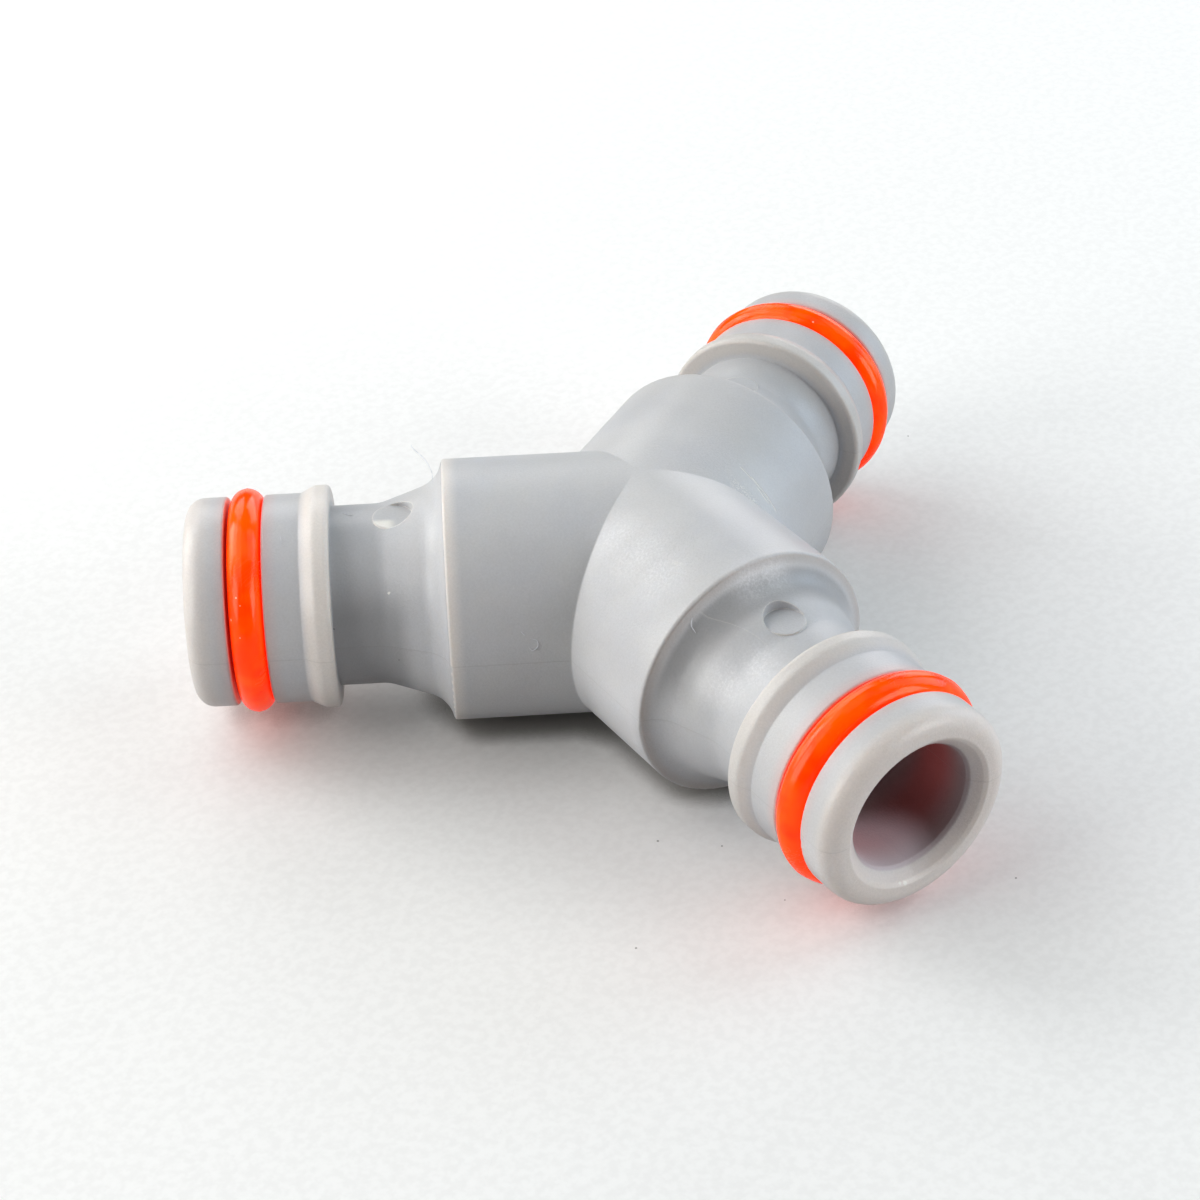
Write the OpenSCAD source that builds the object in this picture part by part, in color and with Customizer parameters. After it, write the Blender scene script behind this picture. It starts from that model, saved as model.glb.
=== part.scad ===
// Three-way hose connector: one moulded body with three male quick-connect
// nipples at 120 degrees, and one rubber O-ring in the groove of each nipple.
// Origin: the point where the three branch axes cross. +Z is up, the front
// branch leaves along -Y. Millimetres.

/* [Branches] */

// distance from the crossing point to the tip of each nipple
tip_s = 33.85; // [33:0.05:40]
// outside radius of the barrel part of each branch
barrel_r = 9.9; // [9.2:0.05:12]
// distance from the crossing point to the shoulder where a barrel ends
shoulder_s = 14.55; // [13.8:0.05:15]
// radius of the small round on the edge of the shoulder
shoulder_round = 0.2; // [0.1:0.05:0.4]

/* [Neck] */

// outside radius of the thin neck between the flange and the flare
neck_r = 6.81; // [6.4:0.01:7.2]
// slope of the flare that widens from the neck towards the shoulder, degrees
flare_angle = 18.7; // [15:0.1:22]
// radius of the hollow curve between the flare and the shoulder
cove_r = 2.45; // [2:0.05:2.6]
// radius at which the hollow curve would run square to the branch axis
cove_top_r = 10.2; // [10.2:0.05:10.4]
// radius of the soft hollow blend between the neck and the flare
neck_blend = 3; // [2:0.1:4]

/* [Flange] */

// width of the flange rim along the branch
flange_rim_w = 1.15; // [1:0.05:1.3]
// outside radius of the flange
flange_r = 8.43; // [8.2:0.01:8.8]
// width of the cone between the flange rim and the nose
flange_cone_w = 1.05; // [0.8:0.05:1.2]
// round on the rear edge of the flange rim
flange_round = 0.35; // [0.1:0.05:0.4]
// radius of the soft turn from the flange rim into its cone
flange_soft = 0.85; // [0.4:0.05:0.9]

/* [Nose] */

// outside radius of the nose, the standard half-inch quick-connect size
nose_r = 7.9; // [7.8:0.01:8]
// width of the nose between the flange cone and the O-ring groove
rear_land_w = 2.75; // [2.4:0.05:3]
// width of the O-ring groove
groove_w = 2.75; // [2.7:0.05:2.9]
// width of the nose between the O-ring groove and the tip
tip_land_w = 3.1; // [2.8:0.05:3.4]
// round on both edges of the groove
groove_round = 0.2; // [0.1:0.05:0.3]
// radius of the round on the outer edge of the tip
tip_round = 1.35; // [1:0.05:1.5]

/* [Waterway] */

// radius of the bore that runs from each mouth to the crossing point
bore_r = 4.9; // [4.2:0.05:5]
// how far the mouth is wider than the bore, measured on the radius
mouth_flare = 1; // [0.5:0.05:1.1]
// depth of the chamfer at the mouth
mouth_depth = 1.05; // [0.5:0.05:1.5]
// how far the small bevels beside the chamfer reach
mouth_bevel = 0.2; // [0.1:0.05:0.25]

/* [O-rings] */

// thickness of the rubber cord of an O-ring
ring_section = 2.5; // [2.3:0.05:2.6]
// how far an O-ring stands proud of the nose
ring_proud = 0.55; // [0.4:0.05:0.8]
// how far an O-ring sits off the middle of its groove, towards the flange
ring_shift = 0.08; // [0:0.01:0.08]
// clearance between an O-ring and the floor of its groove
seat_gap = 0.02; // [0.02:0.01:0.05]

/* [Ejector marks] */

// radius of the round mark on the top of each neck flare
mark_r = 1.53; // [1.2:0.01:1.7]
// distance from the crossing point to the middle of each mark
mark_s = 18.3; // [18:0.05:18.5]
// height of the flat floor of the marks above the mid-plane
mark_floor = 6.9; // [6.8:0.02:7]

/* [Hidden] */

// facets of a full turn
$fn = 96;
// how far a shape runs past the face where it is cut
overlap = 2;
// how far a soft turn runs past the slope it joins, so that the two cross
bite = 0.002;
// half of the angle between two branches, degrees
side_turn = 60;
// directions of the front, right and left branch around +Z, degrees
front_turn = -90;
right_turn = 30;
left_turn = 150;
// middle of the hollow curve: along the branch, and out from its axis
cove_s = shoulder_s + cove_r;
// where the flare line passes the middle of the hollow curve
flare_at_cove = cove_top_r - cove_r / cos(flare_angle) + bite;
// where the flare meets the neck
flare_end_s = cove_s + (flare_at_cove - neck_r) / tan(flare_angle);
// how far the blend reaches from the end of the flare, along neck and flare
blend_reach = neck_blend * tan(flare_angle / 2);
blend_s = flare_end_s + blend_reach - bite;
// where the hollow curve runs into the flare
cove_end_s = cove_s - cove_r * sin(flare_angle);
cove_end_r = cove_top_r - cove_r * cos(flare_angle) + bite;
// where the hollow curve reaches the outside of the barrel
rim_s = cove_s - sqrt(pow(cove_r, 2) - pow(cove_top_r - barrel_r, 2));
// both walls of the groove, counted back from the tip
groove_end_s = tip_s - tip_land_w;
groove_s = groove_end_s - groove_w;
// both ends of the flange cone and the rear face of the flange
flange_end_s = groove_s - rear_land_w;
rim_end_s = flange_end_s - flange_cone_w;
flange_s = rim_end_s - flange_rim_w;
// how far the soft turn of the flange reaches along the rim and the cone
cone_angle = atan((flange_r - nose_r) / flange_cone_w);
soft_reach = flange_soft * tan(cone_angle / 2);
soft_s = rim_end_s - soft_reach + bite;
// the middle line of the O-ring
ring_s = groove_s + groove_w / 2 - ring_shift;
ring_r = nose_r + ring_proud - ring_section / 2;
// floor of the groove
floor_r = ring_r - ring_section / 2 - seat_gap;
// foot of the ejector mark, in the middle of the neck wall
mark_root = (bore_r + neck_r) / 2;

// Turns a shape drawn around +Z so that +Z points along a branch.
module along(turn) {
    rotate([0, 0, turn])
        rotate([0, 90, 0])
            children();
}

// Half section of the barrel, from the crossing point to the shoulder, with
// the hollow curve taken out and the edge rounded.
module barrel_section() {
    difference() {
        polygon([
            [0, 0],
            [barrel_r, 0],
            [barrel_r, rim_s - shoulder_round],
            [barrel_r - shoulder_round, rim_s],
            [barrel_r - shoulder_round, shoulder_s + cove_r / 2],
            [0, shoulder_s + cove_r / 2]
        ]);
        translate([cove_top_r, cove_s])
            circle(r = cove_r);
    }
    round_edge(barrel_r, rim_s, -1, shoulder_round);
}

// Half section of the flare, from inside the barrel to the neck, with the
// hollow curve and the blend towards the neck taken out.
module flare_section() {
    difference() {
        polygon([
            [0, shoulder_s],
            [cove_top_r - cove_r / 2, shoulder_s],
            [cove_end_r, cove_end_s],
            [neck_r + blend_reach * sin(flare_angle), flare_end_s - blend_reach * cos(flare_angle)],
            [neck_r, blend_s],
            [0, blend_s]
        ]);
        translate([cove_top_r, cove_s])
            circle(r = cove_r);
        translate([neck_r + neck_blend, blend_s])
            circle(r = neck_blend);
    }
}

// Half section of the neck, the flange and the nose with its groove.
module nose_section() {
    polygon([
        [0, blend_s],
        [neck_r, blend_s],
        [neck_r, flange_s],
        [flange_r - flange_round, flange_s],
        [flange_r - flange_round, flange_s + flange_round],
        [flange_r, flange_s + flange_round],
        [flange_r, soft_s],
        [flange_r - soft_reach * sin(cone_angle), rim_end_s + soft_reach * cos(cone_angle)],
        [nose_r, flange_end_s],
        [nose_r, groove_s - groove_round],
        [nose_r - groove_round, groove_s - groove_round],
        [nose_r - groove_round, groove_s],
        [floor_r, groove_s],
        [floor_r, groove_end_s],
        [nose_r - groove_round, groove_end_s],
        [nose_r - groove_round, groove_end_s + groove_round],
        [nose_r, groove_end_s + groove_round],
        [nose_r, tip_s - tip_round],
        [nose_r - tip_round, tip_s - tip_round],
        [nose_r - tip_round, tip_s],
        [0, tip_s]
    ]);
    round_edge(flange_r, flange_s, 1, flange_round);
    translate([flange_r - flange_soft, soft_s])
        circle(r = flange_soft);
    round_edge(nose_r, groove_s, -1, groove_round);
    round_edge(nose_r, groove_end_s, 1, groove_round);
    round_edge(nose_r, tip_s, -1, tip_round);
}

// The disc that rounds an outer edge at radius r and distance s. The material
// lies ahead of the edge where side is 1, and behind it where side is -1.
module round_edge(r, s, side, edge_round) {
    translate([r - edge_round, s + side * edge_round])
        circle(r = edge_round);
}

// One solid branch along +X.
module branch() {
    rotate([0, 90, 0])
        rotate_extrude()
            union() {
                barrel_section();
                flare_section();
                nose_section();
            }
}

// What is hollow in one branch along +X: the bore and its mouth.
module waterway() {
    rotate([0, 90, 0])
        rotate_extrude()
            polygon([
                [0, 0],
                [bore_r, 0],
                [bore_r, tip_s - mouth_depth - mouth_bevel / 2],
                [bore_r + mouth_bevel, tip_s - mouth_depth + mouth_bevel],
                [bore_r + mouth_flare - mouth_bevel, tip_s - mouth_bevel],
                [bore_r + mouth_flare + mouth_bevel / 2, tip_s],
                [bore_r + mouth_flare + mouth_bevel / 2, tip_s + overlap],
                [0, tip_s + overlap]
            ]);
}

// The foot of one ejector mark, standing in the neck wall of a branch along +X.
module mark_foot() {
    translate([mark_s, 0, mark_root])
        cylinder(r = mark_r, h = mark_floor - mark_root);
}

// What one ejector mark takes off the flare above its flat floor.
module mark_pocket() {
    translate([mark_s, 0, mark_floor])
        cylinder(r = mark_r, h = barrel_r);
}

// Repeats a shape drawn along +X for all three branches. The front and the
// right branch stand either side of the line between them, and the left one
// mirrors the right one.
module each_branch() {
    rotate([0, 0, front_turn + side_turn])
        rotate([0, 0, -side_turn])
            children();
    rotate([0, 0, right_turn - side_turn])
        rotate([0, 0, side_turn])
            children();
    mirror([1, 0, 0])
        rotate([0, 0, right_turn - side_turn])
            rotate([0, 0, side_turn])
                children();
}

// The moulded body.
module body() {
    color([0.62, 0.65, 0.68])
        difference() {
            union() {
                difference() {
                    each_branch()
                        branch();
                    each_branch()
                        waterway();
                }
                each_branch()
                    mark_foot();
            }
            each_branch()
                mark_pocket();
        }
}

// One O-ring around the axis of a branch.
module o_ring(turn) {
    color([0.9, 0.25, 0.07])
        along(turn)
            translate([0, 0, ring_s])
                rotate_extrude()
                    translate([ring_r, 0])
                        circle(r = ring_section / 2);
}

// The O-ring of the front branch.
module front_o_ring() {
    o_ring(front_turn);
}

// The O-ring of the right branch.
module right_o_ring() {
    o_ring(right_turn);
}

// The O-ring of the left branch.
module left_o_ring() {
    o_ring(left_turn);
}

body();
front_o_ring();
right_o_ring();
left_o_ring();
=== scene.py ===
"""Studio picture of a three-way hose connector.

One grey moulded body with three male nipples at 120 degrees, and one orange
rubber O-ring in the groove of each nipple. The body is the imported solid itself;
the rings, the lint and the specks of dust are built here around it.
"""

import logging
import math
from dataclasses import dataclass
from enum import Enum
from typing import Any, Sequence

import bpy
from mathutils import Matrix, Vector


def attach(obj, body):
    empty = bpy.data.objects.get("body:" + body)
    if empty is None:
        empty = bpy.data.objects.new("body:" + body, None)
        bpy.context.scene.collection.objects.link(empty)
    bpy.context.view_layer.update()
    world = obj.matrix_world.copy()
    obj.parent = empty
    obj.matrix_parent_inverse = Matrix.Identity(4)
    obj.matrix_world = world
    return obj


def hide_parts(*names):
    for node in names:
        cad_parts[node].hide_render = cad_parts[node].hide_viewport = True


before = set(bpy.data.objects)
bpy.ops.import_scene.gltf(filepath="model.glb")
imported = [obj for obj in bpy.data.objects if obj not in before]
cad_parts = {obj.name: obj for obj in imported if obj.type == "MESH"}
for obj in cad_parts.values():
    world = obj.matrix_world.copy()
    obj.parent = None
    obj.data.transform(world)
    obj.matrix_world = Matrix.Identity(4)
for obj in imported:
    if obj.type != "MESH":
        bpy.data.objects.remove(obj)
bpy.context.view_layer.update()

LOG = logging.getLogger("connector")
MM = 0.001
RGB = tuple[float, float, float]


class Branch(Enum):
    """The three branches, each with its direction around +Z in degrees."""

    FRONT = -90.0
    RIGHT = 30.0
    LEFT = 150.0

    @property
    def axis(self) -> Vector:
        """The direction in which the branch leaves the middle."""
        turn = math.radians(self.value)
        return Vector((math.cos(turn), math.sin(turn), 0.0))

    @property
    def side(self) -> Vector:
        """The level direction square to the branch."""
        return Vector((0.0, 0.0, 1.0)).cross(self.axis)

    @property
    def label(self) -> str:
        """The branch's name in lower case, as the piece names use it."""
        return self.name.lower()

    def point(self, along: float, out: float, angle: float) -> Vector:
        """Gives a point on a circle around the branch.

        Args:
            along: Distance from the middle along the branch, in metres.
            out: Distance from the branch's axis, in metres.
            angle: Angle around the axis in radians, 0 sideways and 90 degrees up.

        Returns:
            The point in the row frame.
        """
        up = Vector((0.0, 0.0, 1.0))
        ring = self.side * math.cos(angle) + up * math.sin(angle)
        return self.axis * along + ring * out


def colour(red: int, green: int, blue: int) -> RGB:
    """Turns a colour written as 0 to 255 per channel into linear light.

    Args:
        red: Red as a monitor shows it.
        green: Green as a monitor shows it.
        blue: Blue as a monitor shows it.

    Returns:
        The three linear channels.
    """

    def linear(value: int) -> float:
        """Turns one channel into linear light."""
        part = value / 255.0
        return part / 12.92 if part <= 0.04045 else ((part + 0.055) / 1.055) ** 2.4

    return (linear(red), linear(green), linear(blue))


# Node helpers


@dataclass
class Graph:
    """A node tree with short calls to add and join nodes."""

    tree: bpy.types.NodeTree

    def add(self, kind: str, **settings: Any) -> bpy.types.Node:
        """Adds a node.

        Args:
            kind: The node's type without the ShaderNode in front.
            settings: Properties of the node to set.

        Returns:
            The new node.
        """
        node = self.tree.nodes.new("ShaderNode" + kind)
        for name, value in settings.items():
            setattr(node, name, value)
        return node

    def feed(self, socket: bpy.types.NodeSocket, value: Any) -> None:
        """Links a socket into another one, or sets a plain value on it."""
        if isinstance(value, bpy.types.NodeSocket):
            self.tree.links.new(value, socket)
        elif isinstance(value, (tuple, list)) and len(value) == 3 and socket.type == "RGBA":
            socket.default_value = (*value, 1.0)
        else:
            socket.default_value = value

    def math(self, operation: str, *values: Any) -> bpy.types.NodeSocket:
        """Adds a Math node and returns its result.

        Args:
            operation: The node's operation.
            values: Up to three sockets or numbers.

        Returns:
            The output socket.
        """
        node = self.add("Math", operation=operation)
        for socket, value in zip(node.inputs, values):
            self.feed(socket, value)
        return node.outputs[0]

    def chain(self, operation: str, *values: Any) -> Any:
        """Joins any number of values by one Math operation.

        Args:
            operation: The operation of the nodes.
            values: One or more sockets or numbers.

        Returns:
            The last output socket.
        """
        whole = values[0]
        for value in values[1:]:
            whole = self.math(operation, whole, value)
        return whole

    def vector(self, operation: str, *values: Any) -> bpy.types.NodeSocket:
        """Adds a Vector Math node and returns its result.

        Args:
            operation: The node's operation.
            values: Up to three sockets or vectors.

        Returns:
            The output that the operation fills.
        """
        node = self.add("VectorMath", operation=operation)
        for socket, value in zip(node.inputs, values):
            self.feed(socket, value)
        return node.outputs["Value" if operation in ("DOT_PRODUCT", "LENGTH", "DISTANCE") else "Vector"]

    def band(self, value: Any, low: float, high: float, flip: bool = False) -> bpy.types.NodeSocket:
        """Maps a value smoothly from 0 at low to 1 at high.

        Args:
            value: The socket to map.
            low: Where the result starts to rise.
            high: Where the result reaches 1.
            flip: Whether it falls from 1 to 0 instead.

        Returns:
            The output socket.
        """
        node = self.add("MapRange", interpolation_type="SMOOTHSTEP")
        self.feed(node.inputs["Value"], value)
        for name, number in (
            ("From Min", low),
            ("From Max", high),
            ("To Min", 1.0 if flip else 0.0),
            ("To Max", 0.0 if flip else 1.0),
        ):
            node.inputs[name].default_value = number
        return node.outputs["Result"]

    def mix(self, factor: Any, first: Any, second: Any, blend: str = "MIX") -> bpy.types.NodeSocket:
        """Mixes two colours.

        Args:
            factor: Share of the second colour.
            first: The first colour.
            second: The second colour.
            blend: The blend type.

        Returns:
            The mixed colour.
        """
        node = self.add("Mix", data_type="RGBA", blend_type=blend)
        self.feed(node.inputs[0], factor)
        self.feed(node.inputs[6], first)
        self.feed(node.inputs[7], second)
        return node.outputs[2]

    def noise(
        self, vector: Any, scale: Any, detail: float = 2.0, roughness: float = 0.5
    ) -> bpy.types.NodeSocket:
        """Adds a noise texture.

        Args:
            vector: Where it is looked up.
            scale: Features per metre, as a number or a socket.
            detail: Octaves.
            roughness: How strong the finer octaves are.

        Returns:
            The noise value.
        """
        node = self.add("TexNoise")
        self.feed(node.inputs["Vector"], vector)
        self.feed(node.inputs["Scale"], scale)
        node.inputs["Detail"].default_value = detail
        node.inputs["Roughness"].default_value = roughness
        return node.outputs[0]

    def group(self, tree: bpy.types.NodeTree, **inputs: Any) -> bpy.types.Node:
        """Places a node group.

        Args:
            tree: The group.
            inputs: Values or sockets, named as the group's inputs with _ for a space.

        Returns:
            The group node.
        """
        node = self.add("Group", node_tree=tree)
        for name, value in inputs.items():
            self.feed(node.inputs[name.replace("_", " ")], value)
        return node


def new_group(
    name: str, inputs: Sequence[tuple[str, str, Any]], outputs: Sequence[tuple[str, str]]
) -> tuple[Graph, bpy.types.Node, bpy.types.Node]:
    """Starts a shader node group with named sockets.

    Args:
        name: The group's name.
        inputs: Name, socket type and default of each input.
        outputs: Name and socket type of each output.

    Returns:
        The graph, its input node and its output node.
    """
    tree = bpy.data.node_groups.new(name, "ShaderNodeTree")
    for label, kind, default in inputs:
        socket = tree.interface.new_socket(label, in_out="INPUT", socket_type="NodeSocket" + kind)
        if default is not None:
            socket.default_value = default
    for label, kind in outputs:
        tree.interface.new_socket(label, in_out="OUTPUT", socket_type="NodeSocket" + kind)
    return Graph(tree), tree.nodes.new("NodeGroupInput"), tree.nodes.new("NodeGroupOutput")


class Effects:
    """The surface effects that more than one finish uses, each built once."""

    def __init__(self) -> None:
        """Builds every group."""
        self.branch_place = self._branch_place()
        self.soft_edge = self._soft_edge()
        self.grain = self._grain()
        self.specks = self._specks()
        self.scratches = self._scratches()
        self.spot = self._spot()
        self.arc = self._arc()

    @staticmethod
    def _branch_place() -> bpy.types.NodeTree:
        """Builds the group that says where a point lies on its nearest branch.

        Returns:
            A group that gives the distance along the branch, the distance out from
            its axis, both in millimetres, and the height.
        """
        graph, given, result = new_group(
            "Place on a branch",
            [("Position", "Vector", None)],
            [("Along", "Float"), ("Out", "Float"), ("Height", "Float")],
        )
        spot = graph.vector("SCALE", given.outputs[0])
        spot.node.inputs["Scale"].default_value = 1.0 / MM
        reach = [graph.vector("DOT_PRODUCT", spot, tuple(branch.axis)) for branch in Branch]
        along = graph.math("MAXIMUM", graph.math("MAXIMUM", reach[0], reach[1]), reach[2])
        far = graph.vector("LENGTH", spot)
        square = graph.math("SUBTRACT", graph.math("MULTIPLY", far, far), graph.math("MULTIPLY", along, along))
        split = graph.add("SeparateXYZ")
        graph.feed(split.inputs[0], spot)
        graph.feed(result.inputs["Along"], along)
        graph.feed(result.inputs["Out"], graph.math("SQRT", graph.math("MAXIMUM", square, 0.0)))
        graph.feed(result.inputs["Height"], split.outputs[2])
        return graph.tree

    @staticmethod
    def _soft_edge() -> bpy.types.NodeTree:
        """Builds the group that rounds sharp edges a little and finds them.

        Returns:
            A group that gives the softened normal and a mask of the edges.
        """
        graph, given, result = new_group(
            "Soft edge", [("Radius", "Float", 0.2 * MM)], [("Normal", "Vector"), ("Edge", "Float")]
        )
        bevel = graph.add("Bevel", samples=6)
        graph.feed(bevel.inputs["Radius"], given.outputs[0])
        plain = graph.add("NewGeometry")
        turn = graph.vector("DOT_PRODUCT", bevel.outputs[0], plain.outputs["Normal"])
        graph.feed(result.inputs["Normal"], bevel.outputs[0])
        graph.feed(result.inputs["Edge"], graph.band(turn, 0.55, 0.995, flip=True))
        return graph.tree

    @staticmethod
    def _grain() -> bpy.types.NodeTree:
        """Builds the group for the fine grain that a mould leaves.

        Returns:
            A group that gives the height of the grain.
        """
        graph, given, result = new_group(
            "Moulded grain",
            [("Position", "Vector", None), ("Scale", "Float", 5000.0), ("Waviness", "Float", 0.3)],
            [("Height", "Float")],
        )
        fine = graph.noise(given.outputs[0], given.outputs[1], 3.0, 0.6)
        slow = graph.noise(given.outputs[0], graph.math("MULTIPLY", given.outputs[1], 0.06), 2.0)
        graph.feed(result.inputs[0], graph.math("MULTIPLY_ADD", slow, given.outputs[2], fine))
        return graph.tree

    @staticmethod
    def _specks() -> bpy.types.NodeTree:
        """Builds the group for scattered specks of dust.

        Returns:
            A group that gives a mask of the specks.
        """
        graph, given, result = new_group(
            "Dust specks",
            [
                ("Position", "Vector", None),
                ("Scale", "Float", 900.0),
                ("Share", "Float", 0.1),
                ("Size", "Float", 0.1),
            ],
            [("Mask", "Float")],
        )
        wobble = graph.add("TexNoise")
        graph.feed(wobble.inputs["Vector"], given.outputs[0])
        wobble.inputs["Scale"].default_value = 6000.0
        bent = graph.vector("MULTIPLY_ADD", wobble.outputs["Color"], (0.00012,) * 3, given.outputs[0])
        cell = graph.add("TexVoronoi", feature="F1")
        graph.feed(cell.inputs["Vector"], bent)
        graph.feed(cell.inputs["Scale"], given.outputs[1])
        pick = graph.add("SeparateColor")
        graph.feed(pick.inputs[0], cell.outputs["Color"])
        chosen = graph.math("LESS_THAN", pick.outputs[0], given.outputs[2])
        size = graph.math("MULTIPLY", given.outputs[3], graph.math("MULTIPLY_ADD", pick.outputs[1], 0.8, 0.4))
        close = graph.math("LESS_THAN", cell.outputs["Distance"], size)
        graph.feed(result.inputs[0], graph.math("MULTIPLY", chosen, close))
        return graph.tree

    @staticmethod
    def _scratches() -> bpy.types.NodeTree:
        """Builds the group for fine hairline scratches.

        Returns:
            A group that gives a mask of thin lines along the stretched direction.
        """
        graph, given, result = new_group(
            "Hairline scratches",
            [
                ("Position", "Vector", None),
                ("Turn", "Vector", None),
                ("Scale", "Float", 1.0),
                ("Width", "Float", 0.02),
            ],
            [("Mask", "Float")],
        )
        turn = graph.add("Mapping")
        graph.feed(turn.inputs["Vector"], given.outputs[0])
        graph.feed(turn.inputs["Rotation"], given.outputs[1])
        stretch = graph.vector("MULTIPLY", turn.outputs[0], (150.0, 2200.0, 2200.0))
        lines = graph.noise(stretch, given.outputs[2], 1.0)
        near = graph.math("ABSOLUTE", graph.math("SUBTRACT", lines, 0.5))
        line = graph.math("LESS_THAN", near, given.outputs[3])
        patch = graph.band(graph.noise(given.outputs[0], 260.0), 0.5, 0.62)
        graph.feed(result.inputs[0], graph.math("MULTIPLY", line, patch))
        return graph.tree

    @staticmethod
    def _spot() -> bpy.types.NodeTree:
        """Builds the group for one small mark at a given place.

        Returns:
            A group that gives 1 at the place, falling to 0 at the given radius.
        """
        graph, given, result = new_group(
            "Mark at a place",
            [
                ("Position", "Vector", None),
                ("Place", "Vector", None),
                ("Radius", "Float", 0.1 * MM),
                ("Raggedness", "Float", 0.4),
            ],
            [("Mask", "Float")],
        )
        gap = graph.vector("DISTANCE", given.outputs[0], given.outputs[1])
        share = graph.math("DIVIDE", gap, given.outputs[2])
        ragged = graph.math("SUBTRACT", graph.noise(given.outputs[0], 7000.0), 0.5)
        share = graph.math("MULTIPLY_ADD", ragged, graph.math("MULTIPLY", given.outputs[3], 2.0), share)
        graph.feed(result.inputs[0], graph.band(share, 0.55, 1.0, flip=True))
        return graph.tree

    @staticmethod
    def _arc() -> bpy.types.NodeTree:
        """Builds the group for one thin curved line on a surface.

        Returns:
            A group that gives a mask of the line where the surface passes at one
            distance from a centre, near a given place.
        """
        graph, given, result = new_group(
            "Curved line",
            [
                ("Position", "Vector", None),
                ("Centre", "Vector", None),
                ("Distance", "Float", 0.01),
                ("Width", "Float", 0.00005),
                ("Place", "Vector", None),
                ("Reach", "Float", 0.002),
            ],
            [("Mask", "Float")],
        )
        away = graph.vector("DISTANCE", given.outputs[0], given.outputs[1])
        away = graph.math("MULTIPLY_ADD", graph.noise(given.outputs[0], 900.0), 0.00016, away)
        off = graph.math("ABSOLUTE", graph.math("SUBTRACT", away, given.outputs[2]))
        line = graph.band(graph.math("DIVIDE", off, given.outputs[3]), 0.3, 1.0, flip=True)
        near = graph.vector("DISTANCE", given.outputs[0], given.outputs[4])
        near = graph.math("DIVIDE", near, given.outputs[5])
        graph.feed(result.inputs[0], graph.math("MULTIPLY", line, graph.band(near, 0.7, 1.0, flip=True)))
        return graph.tree


# Finishes


def new_material(name: str) -> tuple[Graph, bpy.types.Node, bpy.types.Material]:
    """Starts a material that holds one Principled shader.

    Args:
        name: The material's name.

    Returns:
        The graph, the shader node and the material.
    """
    material = bpy.data.materials.new(name)
    material.use_nodes = True
    graph = Graph(material.node_tree)
    return graph, material.node_tree.nodes["Principled BSDF"], material


@dataclass(frozen=True)
class Mark:
    """One small mark on a surface: where it is and how far it reaches, in millimetres."""

    place: tuple[float, float, float]
    radius: float

    @property
    def place_m(self) -> tuple[float, float, float]:
        """The place in metres."""
        return tuple(value * MM for value in self.place)


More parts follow.
